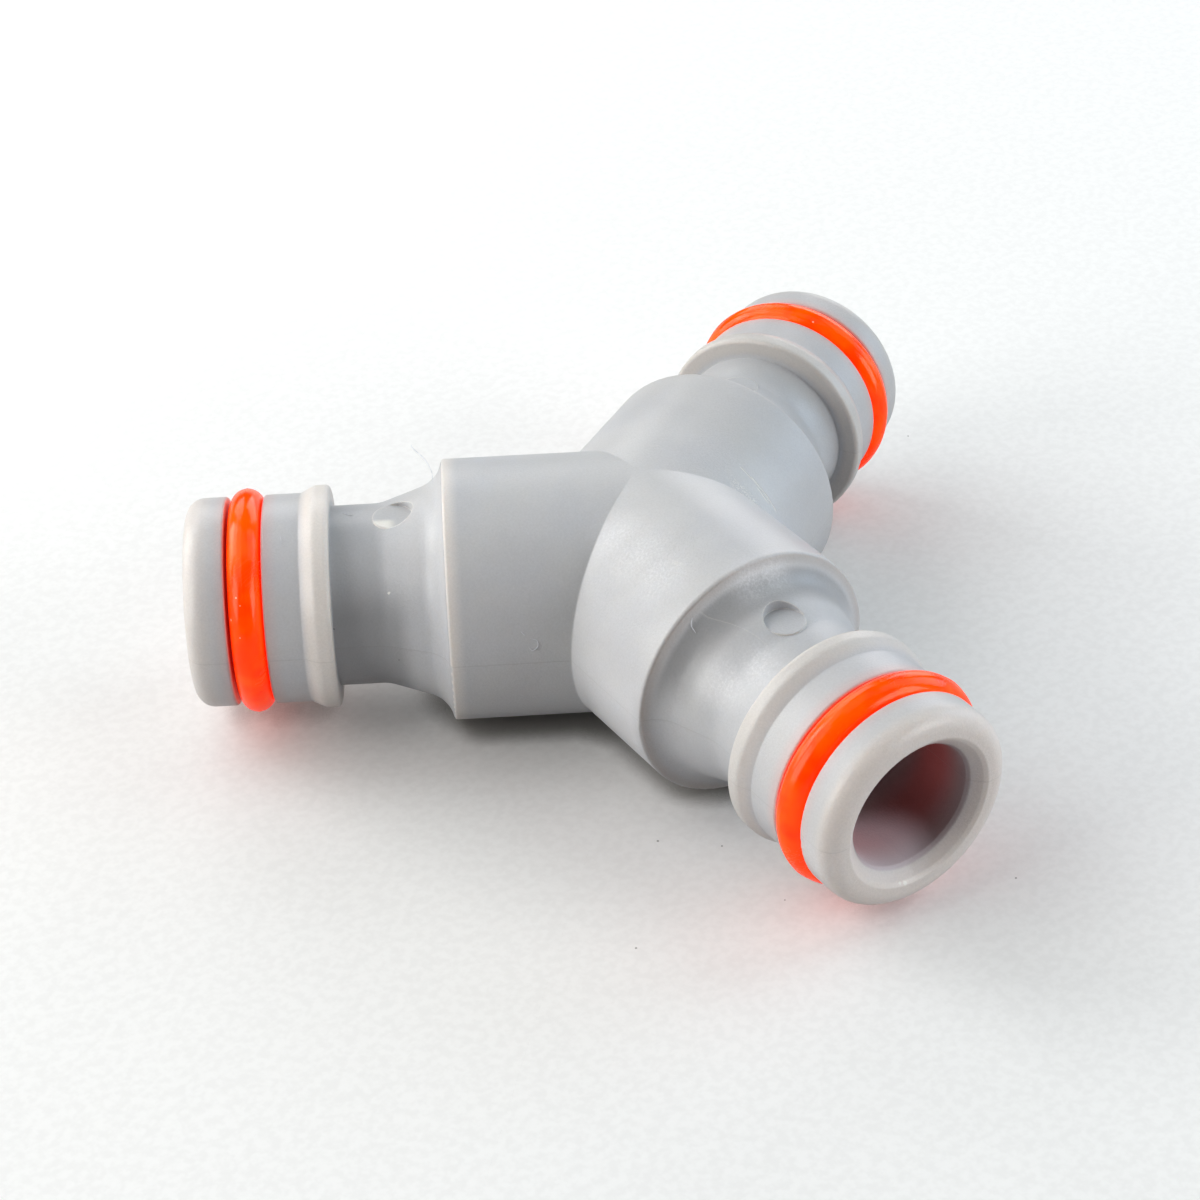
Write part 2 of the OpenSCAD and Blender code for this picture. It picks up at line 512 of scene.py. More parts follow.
@dataclass(frozen=True)
class GreyPlastic:
    """Light grey moulded plastic, satin and a little translucent."""

    base: RGB = colour(203, 203, 204)
    cool: RGB = colour(198, 199, 203)
    neck_painted_shade: RGB = colour(192, 194, 198)
    warm_light: RGB = colour(214, 210, 206)
    tip_light: RGB = colour(236, 226, 220)
    lit_edge: RGB = colour(246, 242, 237)
    glow_edge: RGB = colour(240, 233, 227)
    brown_shade: RGB = colour(192, 181, 172)
    red_bounce: RGB = colour(240, 150, 132)
    bore_shade: RGB = colour(178, 168, 170)
    bore_glow: RGB = colour(170, 60, 52)
    low_light: RGB = (0.14, 0.125, 0.14)
    high_light: RGB = (0.008, 0.003, 0.003)
    red_light: RGB = (0.05, 0.005, 0.005)
    groove_light: RGB = (0.15, 0.012, 0.006)
    dirt: RGB = colour(70, 68, 70)
    chalk_and_lit_patch: RGB = colour(244, 242, 236)
    glint: RGB = colour(246, 246, 249)
    shade: RGB = (0.14, 0.14, 0.15)
    neck_shade: RGB = (0.2, 0.2, 0.21)
    branch_shade: RGB = (0.2, 0.205, 0.21)
    parting_tone: RGB = colour(150, 148, 146)
    # Below about 0.28 the render keeps hard-edged blotches of glare on the plastic.
    smoothest: float = 0.285
    roughest: float = 0.335
    grain_scale: float = 6400.0
    grain_height: float = 0.03 * MM
    depth: float = 0.9 * MM
    ejector_along: float = 18.3
    ejector_floor: float = 6.9
    rub_bend: float = 12.0
    flow_centre: tuple[float, float, float] = (-9.7523, -20.526, 7.0)
    flow_bend: float = 7.6482
    flow_line: Mark = Mark((-3.1, -16.9, 7.1), 3.1)
    dark_marks: tuple[Mark, ...] = (
        Mark((-23.2, 5.77, 1.67), 0.08),
        Mark((-19.44, 3.1, -1.17), 0.07),
        Mark((-23.05, 6.3, 0.95), 0.06),
        Mark((-15.2, 1.2, 5.0), 0.05),
    )
    pale_marks: tuple[Mark, ...] = (
        Mark((-19.13, 4.42, 4.03), 0.13),
        Mark((-0.94, -33.75, -5.77), 0.22),
        Mark((-1.35, -33.7, -5.6), 0.14),
    )
    sparkle: Mark = Mark((-5.4, -9.6, 8.3), 6.4)
    flow: Mark = Mark((-2.2, -11.2, 9.6), 3.2)
    scuff: Mark = Mark((8.2, -3.4, 6.6), 3.4)
    glints: tuple[Mark, ...] = (
        Mark((-4.9, -4.6, 8.7), 3.2),
        Mark((-4.9, -7.4, 8.6), 3.9),
        Mark((-5.1, -10.4, 8.5), 3.6),
        Mark((-0.6, -15.1, 8.7), 2.6),
        Mark((1.2, -15.1, 8.6), 2.4),
        Mark((-5.5, -18.9, 4.3), 3.0),
        Mark((-3.6, -20.1, 5.8), 2.9),
        Mark((-7.7, -31.8, -1.7), 3.4),
    )
    rubs: tuple[Mark, ...] = (
        Mark((8.45, -2.75, 7.25), 1.5),
        Mark((8.85, -3.3, 6.65), 1.3),
        Mark((8.75, -3.75, 6.2), 0.9),
        Mark((9.3, -4.05, 5.6), 1.0),
    )
    bright_wall: Mark = Mark((-1.8, -30.6, -4.7), 5.2)

    def tones(self, graph: Graph, place: Any, spot: bpy.types.Node, edge: Any) -> Any:
        """Mixes the plastic's tones with painted light and shade by where a point lies.

        Args:
            graph: The material's graph.
            place: The position in the solid's frame.
            spot: The node that gives the place on a branch.
            edge: The mask of the edges.

        Returns:
            The colour.
        """
        along, out, height = (spot.outputs[name] for name in ("Along", "Out", "Height"))
        tone = graph.mix(graph.band(graph.noise(place, 140.0, 3.0), 0.3, 0.75), self.base, self.cool)
        # Painted shade: the necks darker and bluer.
        neck = graph.math("MULTIPLY", graph.band(along, 16.4, 18.6), graph.band(along, 22.98, 23.08, flip=True))
        neck = graph.math("MULTIPLY", neck, graph.band(out, 7.1, 7.9, flip=True))
        tone = graph.mix(graph.math("MULTIPLY", neck, 0.6), tone, self.neck_painted_shade)
        rim = graph.math("MULTIPLY", graph.band(along, 22.9, 23.0), graph.band(along, 24.6, 25.4, flip=True))
        rim = graph.math("MULTIPLY", rim, graph.band(out, 7.0, 7.6))
        tip = graph.math("MULTIPLY", graph.band(along, 31.6, 33.5), graph.band(out, 5.4, 5.9))
        # Painted warm light on the flange rims and nose tips.
        rim_and_tip = graph.math("MAXIMUM", rim, graph.math("MULTIPLY", tip, 0.8))
        tone = graph.mix(graph.math("MULTIPLY", rim_and_tip, 0.85), tone, self.warm_light)
        # Painted warm light along the edges.
        tone = graph.mix(graph.math("MULTIPLY", edge, 0.25), tone, self.warm_light)
        left = self.on_branch(graph, place, Branch.LEFT)
        right = self.on_branch(graph, place, Branch.RIGHT)
        shaded = graph.math("SUBTRACT", 1.0, left)
        # Painted glow on the left barrel's shoulder, as if lit through from behind.
        shoulder = graph.math("MULTIPLY", graph.band(along, 13.25, 14.4), graph.band(out, 9.75, 9.85))
        tone = graph.mix(graph.chain("MULTIPLY", shoulder, left, 0.72), tone, self.glow_edge)
        # Painted brown shade on the shoulder lip and hollow of the front and right branches.
        lip = graph.math("MULTIPLY", graph.band(along, 14.2, 14.7), graph.band(out, 9.5, 9.7))
        tone = graph.mix(graph.chain("MULTIPLY", lip, shaded, 0.22), tone, self.brown_shade)
        hollow = graph.math("MULTIPLY", graph.band(out, 8.9, 9.5), graph.band(along, 14.52, 14.6))
        tone = graph.mix(graph.chain("MULTIPLY", hollow, shaded, 0.3), tone, self.brown_shade)
        front = self.on_branch(graph, place, Branch.FRONT)
        shade = graph.chain(
            "MULTIPLY",
            graph.band(along, 16.3, 17.6, flip=True),
            graph.band(along, 14.6, 14.9),
            front,
            graph.band(out, 8.7, 9.2, flip=True),
            graph.band(height, 0.5, 4.5),
            0.42,
        )
        tone = graph.mix(shade, tone, self.shade)
        # Painted brown shade on the rear face of the flange on the front and right branches.
        rear = graph.math("MULTIPLY", graph.band(along, 23.1, 23.4, flip=True), graph.band(along, 22.95, 23.04))
        rear = graph.math("MULTIPLY", graph.math("MULTIPLY", rear, graph.band(out, 6.95, 7.3)), shaded)
        tone = graph.mix(graph.math("MULTIPLY", rear, 0.25), tone, self.brown_shade)
        # Painted warm light on the front and left nose tips.
        front_tip = graph.chain("MULTIPLY", graph.band(along, 32.2, 33.4), front, 0.8)
        tone = graph.mix(front_tip, tone, self.tip_light)
        left_tip = graph.chain("MULTIPLY", graph.band(along, 31.2, 32.8), left, 0.4)
        tone = graph.mix(left_tip, tone, self.tip_light)
        # Painted glow on the left flange rim.
        tone = graph.mix(graph.chain("MULTIPLY", rim, left, 0.6), tone, self.glow_edge)
        # Painted light on the lower side of the front barrel.
        low_side_light = graph.band(along, 13.3, 14.4, flip=True)
        low_side_light = graph.chain("MULTIPLY", low_side_light, graph.band(height, 0.0, 3.5, flip=True), front, 0.28)
        tone = graph.mix(low_side_light, tone, self.glint)
        low_neck = graph.chain("MULTIPLY", neck, left, graph.band(height, 2.0, 5.6, flip=True), 0.5)
        tone = graph.mix(low_neck, tone, self.neck_shade)
        tone = graph.mix(graph.math("MULTIPLY", right, 0.13), tone, self.branch_shade)
        # Painted red light bounced from the rings onto the plastic beside them and in the grooves.
        near_ring = graph.math("ABSOLUTE", graph.math("SUBTRACT", along, 29.3))
        red_bounce = graph.math("MULTIPLY", graph.band(near_ring, 1.2, 2.6, flip=True), 0.2)
        groove = graph.band(near_ring, 1.35, 1.5, flip=True)
        groove = graph.math("MULTIPLY", groove, graph.band(out, 7.6, 7.9, flip=True))
        tone = graph.mix(graph.math("MAXIMUM", red_bounce, groove), tone, self.red_bounce)
        # Painted shade inside the bores.
        inside = graph.band(out, 5.0, 5.15, flip=True)
        tone = graph.mix(inside, tone, self.bore_shade)
        # Painted red glow inside the bores where the rings sit.
        glow = graph.math("MULTIPLY", inside, graph.band(near_ring, 0.4, 3.6, flip=True))
        tone = graph.mix(graph.math("MULTIPLY", glow, 0.7), tone, self.bore_glow)
        # Painted highlight on the rim of each ejector mark.
        lateral = graph.math("SUBTRACT", graph.math("MULTIPLY", out, out), graph.math("MULTIPLY", height, height))
        past_mark = graph.math("ABSOLUTE", graph.math("SUBTRACT", along, self.ejector_along))
        at_mark = graph.math("LESS_THAN", past_mark, 1.62)
        at_mark = graph.math("MULTIPLY", at_mark, graph.math("LESS_THAN", lateral, 2.6))
        at_mark = graph.math("MULTIPLY", at_mark, graph.math("GREATER_THAN", height, 6.3))
        bright_rim = graph.math("MULTIPLY", at_mark, graph.band(edge, 0.1, 0.5))
        return graph.mix(graph.math("MULTIPLY", bright_rim, 0.7), tone, self.lit_edge)

    @staticmethod
    def on_branch(graph: Graph, place: Any, branch: Branch) -> Any:
        """Masks one branch, fading out towards the middle.

        Args:
            graph: The material's graph.
            place: The position in the solid's frame.
            branch: The branch.

        Returns:
            The mask.
        """
        return graph.band(graph.vector("DOT_PRODUCT", place, tuple(branch.axis)), 5.0 * MM, 10.0 * MM)

    def shine_through(self, graph: Graph, spot: bpy.types.Node, place: Any) -> Any:
        """Gives the painted glow that stands in for the light coming through the walls into the open bores and
        grooves.

        Args:
            graph: The material's graph.
            spot: The node that gives the place on a branch.
            place: The position in the solid's frame.

        Returns:
            The colour of that light.
        """
        along, out, height = (spot.outputs[name] for name in ("Along", "Out", "Height"))
        inside = graph.math("MULTIPLY", graph.band(out, 5.0, 5.15, flip=True), graph.band(along, 20.0, 33.0))
        light = graph.mix(self.near(graph, place, self.bright_wall), self.high_light, self.low_light)
        ringed = graph.band(graph.math("ABSOLUTE", graph.math("SUBTRACT", along, 29.6)), 0.5, 3.0, flip=True)
        ringed = graph.math("MULTIPLY", ringed, graph.band(height, -4.5, -0.5))
        light = graph.mix(graph.math("MULTIPLY", ringed, 0.8), light, self.red_light, "ADD")
        walls = graph.math("ABSOLUTE", graph.math("SUBTRACT", along, 29.375))
        groove = graph.math("MULTIPLY", graph.band(walls, 1.4, 1.5, flip=True), graph.band(out, 6.9, 7.8))
        groove = graph.math("MULTIPLY", groove, graph.band(out, 7.84, 7.89, flip=True))
        return graph.mix(inside, graph.mix(groove, (0.0, 0.0, 0.0), self.groove_light), light)

    def marks(self, graph: Graph, effects: Effects, place: Any, tone: Any) -> Any:
        """Puts the small specks on the plastic.

        Args:
            graph: The material's graph.
            effects: The shared surface effects.
            place: The position in the solid's frame.
            tone: The colour so far.

        Returns:
            The colour with the specks.
        """
        for marks, paint, strength in ((self.dark_marks, self.dirt, 0.7), (self.pale_marks, self.chalk_and_lit_patch, 0.9)):
            for mark in marks:
                speck = graph.group(effects.spot, Position=place, Place=mark.place_m, Radius=mark.radius * MM)
                tone = graph.mix(graph.math("MULTIPLY", speck.outputs[0], strength), tone, paint)
        return tone

    def near(self, graph: Graph, place: Any, mark: Mark) -> Any:
        """Gives a soft mask around a mark.

        Args:
            graph: The material's graph.
            place: The position in the solid's frame.
            mark: The middle and the reach.

        Returns:
            The mask.
        """
        gap = graph.vector("DISTANCE", place, mark.place_m)
        return graph.band(gap, mark.radius * 0.45 * MM, mark.radius * MM, flip=True)

    def speckle(self, graph: Graph, place: Any) -> Any:
        """Masks the painted highlights: bright points of the grain where the lamps strike it, on softly lit
        patches.

        Args:
            graph: The material's graph.
            place: The position in the solid's frame.

        Returns:
            The mask.
        """
        lit: Any = 0.0
        for glint in self.glints:
            gap = graph.vector("DISTANCE", place, glint.place_m)
            lit = graph.math("MAXIMUM", lit, graph.band(gap, 0.0, glint.radius * MM, flip=True))
        points = graph.band(graph.noise(place, 4600.0, 2.0, 0.7), 0.4, 0.7)
        return graph.math("MULTIPLY", graph.math("MULTIPLY_ADD", points, 0.24, 0.24), lit)

    def strokes(self, graph: Graph, effects: Effects, place: Any) -> Any:
        """Masks the few strokes that a rub left on the right barrel.

        Args:
            graph: The material's graph.
            effects: The shared surface effects.
            place: The position in the solid's frame.

        Returns:
            The mask.
        """
        mask: Any = 0.0
        for rub in self.rubs:
            centre = (Vector(rub.place) + Branch.RIGHT.axis * self.rub_bend) * MM
            line = graph.group(
                effects.arc,
                Position=place,
                Centre=tuple(centre),
                Distance=(self.rub_bend + 0.08) * MM,
                Width=0.1 * MM,
                Place=rub.place_m,
                Reach=rub.radius * MM,
            )
            mask = graph.math("MAXIMUM", mask, line.outputs[0])
        return mask

    def build(self, effects: Effects) -> bpy.types.Material:
        """Builds the material.

        Args:
            effects: The shared surface effects.

        Returns:
            The material.
        """
        graph, shader, material = new_material("grey_plastic")
        place = graph.add("TexCoord").outputs["Object"]
        spot = graph.group(effects.branch_place, Position=place)
        edge = graph.group(effects.soft_edge, Radius=0.22 * MM)
        tone = self.tones(graph, place, spot, edge.outputs["Edge"])
        line = graph.math("ABSOLUTE", spot.outputs["Height"])
        parting = graph.band(line, 0.015, 0.06, flip=True)
        tone = graph.mix(graph.math("MULTIPLY", parting, 0.16), tone, self.parting_tone)
        specks = graph.group(effects.specks, Position=place, Scale=420.0, Share=0.12, Size=0.016)
        tone = graph.mix(graph.math("MULTIPLY", specks.outputs[0], 0.5), tone, self.dirt)
        tone = self.marks(graph, effects, place, tone)
        # Painted light on the floor of the left ejector mark.
        tone = graph.mix(self.crescent(graph, place), tone, self.chalk_and_lit_patch)
        # Painted highlights where the lamps strike the grain.
        tone = graph.mix(self.speckle(graph, place), tone, self.glint)
        fine = graph.group(effects.scratches, Position=place, Turn=(0.2, 0.1, 0.5), Width=0.008)
        rubbed = graph.group(effects.scratches, Position=place, Turn=(0.4, 0.2, 0.9), Scale=2.2, Width=0.05)
        flow = graph.group(effects.scratches, Position=place, Turn=(0.0, 0.0, 1.17), Scale=0.9, Width=0.035)
        arc = graph.group(
            effects.arc,
            Position=place,
            Centre=tuple(value * MM for value in self.flow_centre),
            Distance=self.flow_bend * MM,
            Width=0.06 * MM,
            Place=self.flow_line.place_m,
            Reach=self.flow_line.radius * MM,
        )
        scuffs = graph.math("MULTIPLY", rubbed.outputs[0], self.near(graph, place, self.scuff))
        scuffs = graph.math("MULTIPLY", graph.math("MAXIMUM", scuffs, self.strokes(graph, effects, place)), 3.4)
        flows = graph.math("MULTIPLY", flow.outputs[0], self.near(graph, place, self.flow))
        hairlines = graph.math("MULTIPLY", fine.outputs[0], 0.3)
        lines = graph.chain("MAXIMUM", hairlines, scuffs, flows, arc.outputs[0])
        tone = graph.mix(graph.math("MULTIPLY", lines, 0.16), tone, self.chalk_and_lit_patch)
        grain = graph.group(effects.grain, Position=place, Scale=self.grain_scale, Waviness=0.3)
        mottle = graph.math("MULTIPLY_ADD", grain.outputs[0], 0.22, 0.855)
        tone = graph.vector("SCALE", tone)
        graph.feed(tone.node.inputs["Scale"], mottle)
        graph.feed(shader.inputs["Base Color"], tone)
        # Painted glow in the bores and grooves.
        graph.feed(shader.inputs["Emission Color"], self.shine_through(graph, spot, place))
        shader.inputs["Emission Strength"].default_value = 1.0
        cloud = graph.band(graph.noise(place, 240.0, 2.0), 0.2, 0.8)
        rough = graph.math("MULTIPLY_ADD", cloud, self.roughest - self.smoothest, self.smoothest)
        graph.feed(shader.inputs["Roughness"], rough)
        rich = graph.math("MULTIPLY_ADD", self.near(graph, place, self.sparkle), 2.4, 0.9)
        height = graph.math("MULTIPLY", grain.outputs[0], rich)
        height = graph.math("MULTIPLY_ADD", parting, 0.6, height)
        height = graph.math("MULTIPLY_ADD", lines, -0.7, height)
        bump = graph.add("Bump")
        bump.inputs["Strength"].default_value = 0.8
        bump.inputs["Distance"].default_value = self.grain_height
        graph.feed(bump.inputs["Height"], height)
        graph.feed(bump.inputs["Normal"], edge.outputs["Normal"])
        graph.feed(shader.inputs["Normal"], bump.outputs[0])
        shader.inputs["Subsurface Weight"].default_value = 0.25
        shader.inputs["Subsurface Radius"].default_value = (1.0, 0.78, 0.6)
        shader.inputs["Subsurface Scale"].default_value = self.depth
        shader.inputs["Specular IOR Level"].default_value = 0.5
        return material

    def crescent(self, graph: Graph, place: Any) -> Any:
        """Masks the painted light: a pale lit corner on the floor of the left ejector mark.

        Args:
            graph: The material's graph.
            place: The position in the solid's frame.

        Returns:
            The mask.
        """
        middle = (Branch.LEFT.axis * self.ejector_along + Vector((0.0, 0.0, self.ejector_floor))) * MM
        gap = graph.vector("DISTANCE", place, tuple(middle))
        sideways = graph.vector("DOT_PRODUCT", place, tuple(Branch.LEFT.side))
        along = graph.vector("DOT_PRODUCT", place, tuple(Branch.LEFT.axis))
        corner = graph.band(sideways, 0.15 * MM, 0.75 * MM)
        corner = graph.math("MULTIPLY", corner, graph.band(along, 17.9 * MM, 18.8 * MM))
        corner = graph.math("MULTIPLY", corner, graph.math("LESS_THAN", gap, 1.58 * MM))
        return graph.math("MULTIPLY", corner, 0.95)


@dataclass(frozen=True)
class OrangeRubber:
    """Bright orange-red silicone rubber with a wet-looking gloss."""

    base: RGB = colour(255, 96, 2)
    deep: RGB = colour(255, 70, 0)
    glow: RGB = (1.0, 0.012, 0.0)
    glow_strength: float = 0.26
    seen_glow: float = 0.3
    roughness: float = 0.15
    dark_marks: tuple[Mark, ...] = (
        Mark((-28.77, 7.61, -2.85), 0.09),
        Mark((-27.14, 10.15, 6.69), 0.07),
        Mark((29.15, 7.26, -1.25), 0.12),
        Mark((-28.9, 7.9, -3.4), 0.06),
    )
    pale_marks: tuple[Mark, ...] = (
        Mark((-29.16, 9.14, 4.99), 0.09),
        Mark((-29.14, 8.65, 4.55), 0.06),
        Mark((-29.84, 8.98, 3.38), 0.1),
        Mark((-29.76, 7.92, 2.36), 0.06),
        Mark((25.72, 12.5, 7.92), 0.1),
        Mark((-5.98, -28.4, 5.95), 0.08),
    )

    def build(self, effects: Effects) -> bpy.types.Material:
        """Builds the material.

        Args:
            effects: The shared surface effects.

        Returns:
            The material.
        """
        graph, shader, material = new_material("orange_rubber")
        place = graph.add("TexCoord").outputs["Object"]
        cloud = graph.noise(place, 420.0, 2.0)
        tone = graph.mix(graph.band(cloud, 0.35, 0.7), self.base, self.deep)
        for marks, paint in ((self.dark_marks, colour(90, 24, 14)), (self.pale_marks, colour(255, 214, 190))):
            for mark in marks:
                speck = graph.group(effects.spot, Position=place, Place=mark.place_m, Radius=mark.radius * MM)
                tone = graph.mix(graph.math("MULTIPLY", speck.outputs[0], 0.8), tone, paint)
        dust = graph.group(effects.specks, Position=place, Scale=800.0, Share=0.08, Size=0.05)
        tone = graph.mix(graph.math("MULTIPLY", dust.outputs[0], 0.5), tone, colour(255, 200, 170))
        graph.feed(shader.inputs["Base Color"], tone)
        # Painted glow: the rubber lights itself, more so as the camera sees it.
        shader.inputs["Emission Color"].default_value = (*self.glow, 1.0)
        seen = graph.add("LightPath").outputs["Is Camera Ray"]
        strength = graph.math("MULTIPLY_ADD", seen, self.seen_glow, self.glow_strength)
        graph.feed(shader.inputs["Emission Strength"], strength)
        grain = graph.group(effects.grain, Position=place, Scale=2600.0, Waviness=1.2)
        scratches = graph.group(effects.scratches, Position=place, Turn=(0.9, 0.3, 0.2), Scale=1.4, Width=0.03)
        rough = graph.math("MULTIPLY_ADD", cloud, 0.16, self.roughness - 0.08)
        graph.feed(shader.inputs["Roughness"], graph.math("MULTIPLY_ADD", scratches.outputs[0], 0.15, rough))
        bump = graph.add("Bump")
        bump.inputs["Strength"].default_value = 0.5
        bump.inputs["Distance"].default_value = 0.014 * MM
        graph.feed(bump.inputs["Height"], graph.math("MULTIPLY_ADD", scratches.outputs[0], 0.5, grain.outputs[0]))
        graph.feed(shader.inputs["Normal"], bump.outputs[0])
        shader.inputs["Subsurface Weight"].default_value = 0.2
        shader.inputs["Subsurface Radius"].default_value = (1.0, 0.25, 0.08)
        shader.inputs["Subsurface Scale"].default_value = 0.8 * MM
        shader.inputs["Specular IOR Level"].default_value = 0.32
        shader.inputs["Specular Tint"].default_value = (1.0, 0.86, 0.62, 1.0)
        return material


@dataclass(frozen=True)
class LintFinish:
    """Dull pale grey fibre."""

    base: RGB = colour(226, 228, 232)
    shade: RGB = colour(206, 208, 214)

    def build(self) -> bpy.types.Material:
        """Builds the material.

        Returns:
            The material.
        """
        graph, shader, material = new_material("lint")
        place = graph.add("TexCoord").outputs["Object"]
        tone = graph.mix(graph.band(graph.noise(place, 3000.0), 0.35, 0.65), self.base, self.shade)
        graph.feed(shader.inputs["Base Color"], tone)
        shader.inputs["Roughness"].default_value = 0.8
        # Painted glow: the lint lights itself a little.
        shader.inputs["Emission Color"].default_value = (*self.shade, 1.0)
        shader.inputs["Emission Strength"].default_value = 0.12
        return material


# Pieces


def add_mesh(
    name: str, points: Sequence[Vector], faces: Sequence[Sequence[int]], material: bpy.types.Material
) -> bpy.types.Object:
    """Makes a smooth mesh object and links it into the scene.

    Args:
        name: The piece's name.
        points: The vertices in the row frame.
        faces: The faces as indices of the vertices.
        material: Its finish.

    Returns:
        The new object.
    """
    mesh = bpy.data.meshes.new(name)
    mesh.from_pydata([tuple(point) for point in points], [], [tuple(face) for face in faces])
    mesh.polygons.foreach_set("use_smooth", [True] * len(mesh.polygons))
    mesh.materials.append(material)
    mesh.validate()
    mesh.update()
    piece = bpy.data.objects.new(name, mesh)
    bpy.context.scene.collection.objects.link(piece)
    return piece


@dataclass
class MouldedBody:
    """The grey moulding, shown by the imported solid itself."""

    node: str = "body"

    def dress(self, material: bpy.types.Material) -> bpy.types.Object:
        """Gives the solid its finish.

        Args:
            material: The plastic.

        Returns:
            The solid's object.
        """
        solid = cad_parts[self.node]
        solid.data.materials.clear()
        solid.data.materials.append(material)
        LOG.info("%s: %d faces", self.node, len(solid.data.polygons))
        return solid


@dataclass
class ORing:
    """One rubber O-ring with the thin flash line that its mould leaves."""

    branch: Branch
    centre_along: float = 29.295 * MM
    middle_radius: float = 7.2 * MM
    cord_radius: float = 1.25 * MM
    flash_height: float = 0.035 * MM
    flash_width: float = 0.06
    around: int = 360
    section: int = 56

    @property
    def node(self) -> str:
        """The name of the solid that the ring stands in for."""
        return self.branch.label + "_o_ring"

    def cord(self, turn: float, angle: float) -> float:
        """Gives the radius of the rubber cord at one place.

        Args:
            turn: Angle around the branch in radians.
            angle: Angle around the cord in radians, 0 pointing away from the branch.

        Returns:
            The radius in metres.
        """
        wave = 0.004 * MM * (math.sin(3 * turn + self.branch.value) + math.sin(7 * turn + 1.3))
        ridge = math.exp(-((math.sin(angle) / self.flash_width) ** 2)) if math.cos(angle) > 0 else 0.0
        uneven = 0.6 + 0.4 * math.sin(5 * turn + self.branch.value) * math.sin(11 * turn)
        return self.cord_radius + wave + self.flash_height * ridge * uneven

    def build(self, material: bpy.types.Material) -> bpy.types.Object:
        """Builds the ring.

        Args:
            material: The rubber.

        Returns:
            The ring's object.
        """
        points: list[Vector] = []
        faces: list[tuple[int, ...]] = []
        for i in range(self.around):
            turn = 2 * math.pi * i / self.around
            for j in range(self.section):
                even = 2 * math.pi * j / self.section
                angle = even - 0.35 * math.sin(even)
                cord = self.cord(turn, angle)
                out = self.middle_radius + cord * math.cos(angle)
                along = self.centre_along + cord * math.sin(angle)
                points.append(self.branch.point(along, out, turn))
                here, there = i * self.section, (i + 1) % self.around * self.section
                after = (j + 1) % self.section
                faces.append((here + j, there + j, there + after, here + after))
        ring = add_mesh(self.branch.label + "_rubber_ring", points, faces, material)
        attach(ring, "root")
        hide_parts(self.node)
        LOG.info("%s: %d faces", ring.name, len(faces))
        return ring


@dataclass
class Fibre:
    """One thin fibre of lint that lies on the moulding or stands off it."""

    places: tuple[tuple[float, float, float], ...]
    radius: float = 0.035 * MM
    steps: int = 10
    sides: int = 6

    def path(self) -> list[Vector]:
        """Draws a smooth line through the places.

        Returns:
            The points of the line.
        """
        knots = [Vector(place) * MM for place in self.places]
        knots = [knots[0] * 2 - knots[1], *knots, knots[-1] * 2 - knots[-2]]
        line: list[Vector] = []
        for before, start, end, after in zip(knots, knots[1:], knots[2:], knots[3:]):
            for step in range(self.steps):
                share = step / self.steps
                bend = (2 * before - 5 * start + 4 * end - after) * share**2
                twist = (3 * start - before - 3 * end + after) * share**3
                line.append(0.5 * (2 * start + (end - before) * share + bend + twist))
        return [*line, knots[-2]]

    def tube(self, first: int) -> tuple[list[Vector], list[tuple[int, ...]]]:
        """Wraps a thin tube around the line.

        Args:
            first: Index that the tube's first vertex will have.

        Returns:
            The vertices and the faces.
        """
        line = self.path()
        points: list[Vector] = []
        faces: list[tuple[int, ...]] = []
        for i, middle in enumerate(line):
            ahead = (line[min(i + 1, len(line) - 1)] - line[max(i - 1, 0)]).normalized()
            across = ahead.orthogonal().normalized()
            other = ahead.cross(across)
            thin = self.radius * (1.0 - 0.6 * abs(2.0 * i / (len(line) - 1) - 1.0) ** 3)
            for j in range(self.sides):
                turn = 2 * math.pi * j / self.sides
                points.append(middle + (across * math.cos(turn) + other * math.sin(turn)) * thin)
                if i:
                    low, high = first + (i - 1) * self.sides, first + i * self.sides
                    after = (j + 1) % self.sides
                    faces.append((low + j, low + after, high + after, high + j))
        faces.append(tuple(first + j for j in reversed(range(self.sides))))
        faces.append(tuple(first + (len(line) - 1) * self.sides + j for j in range(self.sides)))
        return points, faces


@dataclass
class Lint:
    """The few fibres that cling to the connector."""

    fibres: tuple[Fibre, ...] = (
        Fibre(
            (
                (-12.09, 9.54, 8.45),
                (-11.88, 9.94, 8.9),
                (-11.7, 10.94, 9.2),
                (-11.73, 11.67, 9.4),
                (-11.79, 12.37, 9.5),
                (-11.79, 12.98, 9.55),
                (-11.67, 13.2, 9.6),
            ),
            0.04 * MM,
        ),
        Fibre(
            ((-18.6, 12.3, 6.66), (-18.45, 11.5, 6.8), (-18.2, 11.2, 6.82), (-17.95, 11.4, 6.77)),
            0.025 * MM,
        ),
        Fibre(((-24.2, 11.3, 7.52), (-24.4, 10.7, 7.36), (-24.68, 10.2, 7.1)), 0.015 * MM),
        Fibre(((-5.44, -14.78, 7.44), (-5.66, -15.0, 6.95), (-5.5, -15.3, 6.42)), 0.025 * MM),
        Fibre(
            (
                (-12.36, -4.06, 2.12),
                (-11.95, -4.36, 1.92),
                (-11.95, -4.46, 1.45),
                (-12.3, -4.3, 1.14),
                (-12.52, -4.13, 1.41),
            ),
            0.03 * MM,
        ),
        Fibre(((-12.84, -3.64, 2.69), (-12.64, -3.85, 2.37)), 0.03 * MM),
    )

    def build(self, material: bpy.types.Material) -> bpy.types.Object:
        """Builds all fibres as one piece.

        Args:
            material: The lint.

        Returns:
            The piece.
        """
        points: list[Vector] = []
        faces: list[tuple[int, ...]] = []
        for fibre in self.fibres:
            more_points, more_faces = fibre.tube(len(points))
            points += more_points
            faces += more_faces
        lint = add_mesh("lint", points, faces, material)
        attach(lint, "root")
        LOG.info("lint: %d fibres", len(self.fibres))
        return lint


# Studio


@dataclass(frozen=True)
class SoftBox:
    """One square soft light around the object."""

    name: str
    azimuth: float
    height: float
    power: float
    tint: RGB = (1.0, 1.0, 1.0)
    far: float = 0.5
    size: float = 0.28


